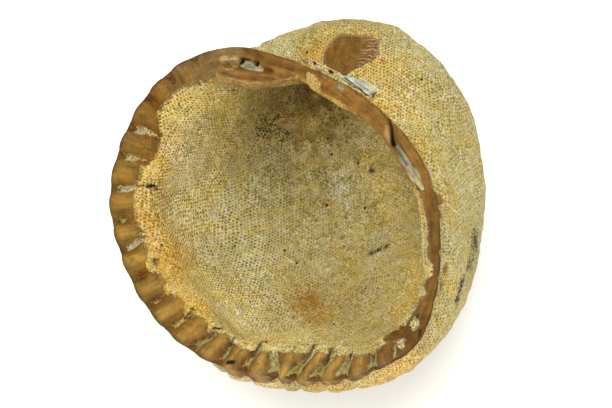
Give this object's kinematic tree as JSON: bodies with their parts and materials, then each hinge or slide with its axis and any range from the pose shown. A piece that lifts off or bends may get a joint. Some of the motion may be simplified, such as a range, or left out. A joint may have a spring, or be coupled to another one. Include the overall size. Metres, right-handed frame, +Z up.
{
  "type": "fossil cockle shell",
  "caption": "One valve of a fossil cockle lying hollow side up, ribbed brown rim and hinge teeth bare, the rest grown over with chalky pitted crust.",
  "frame": {"origin": "centre of the bounding box on the ground plane, under the spot worn flat on the convex side", "axes": "+Z up out of the hollow, +Y toward the hinge and beak, +X toward the back end of the valve"},
  "size_m": [0.048, 0.0472, 0.0262],
  "materials": {
    "shell": "matte chalky crust over brown shell"
  },
  "bodies": {
    "root": {"cockle_shell": "shell"}
  },
  "joints": []
}
